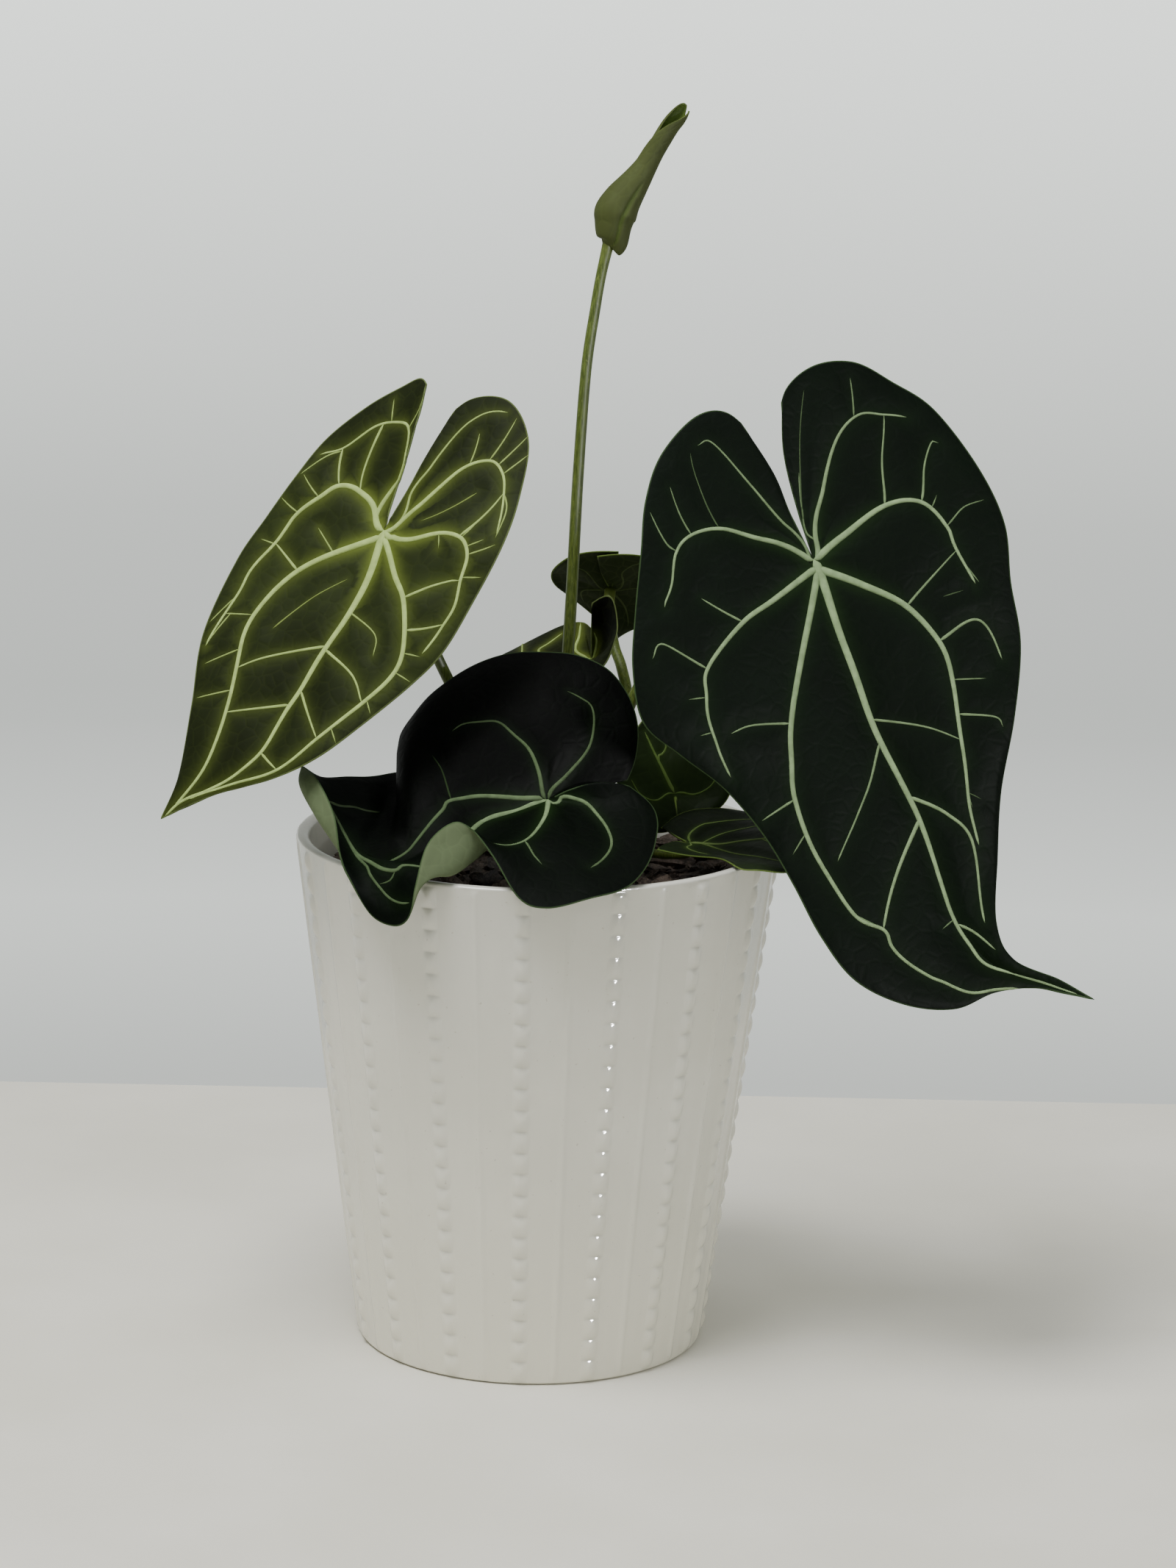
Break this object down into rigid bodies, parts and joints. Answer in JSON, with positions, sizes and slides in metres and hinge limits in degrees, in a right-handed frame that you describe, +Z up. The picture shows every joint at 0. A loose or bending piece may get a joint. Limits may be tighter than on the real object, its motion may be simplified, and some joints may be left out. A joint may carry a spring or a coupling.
{
  "type": "potted anthurium brownii",
  "caption": "Young velvet-leaved anthurium with heart-shaped, pale-veined leaves on long stalks and a furled new leaf, in a tapered white pot with bead columns.",
  "frame": {"origin": "centre of the pot's foot, on the surface that it stands on", "axes": "+Z up along the pot's axis; the side seen first faces -Y, with the left leaf at -X and the right leaf at +X"},
  "size_m": [0.2527, 0.1444, 0.346],
  "materials": {
    "pot_glaze": "smooth glossy glaze",
    "bark_mix": "rough, matt bark chips",
    "crown_fibre": "dull, fibrous",
    "blade_olive": "velvety satin leaf",
    "blade_dark": "velvety satin leaf",
    "blade_bright": "satin leaf",
    "petiole_green": "smooth satin stalk"
  },
  "bodies": {
    "root": {"pot": "pot_glaze", "potting_mix": "bark_mix", "crown": "crown_fibre", "blade_left": "blade_olive", "petiole_left": "petiole_green", "blade_front": "blade_dark", "petiole_front": "petiole_green", "blade_right": "blade_dark", "petiole_right": "petiole_green", "blade_middle": "blade_dark", "petiole_middle": "petiole_green", "blade_low": "blade_bright", "petiole_low": "petiole_green", "blade_upright": "blade_olive", "petiole_upright": "petiole_green", "blade_back": "blade_bright", "petiole_back": "petiole_green", "blade_furled": "blade_olive", "petiole_furled": "petiole_green"}
  },
  "joints": []
}
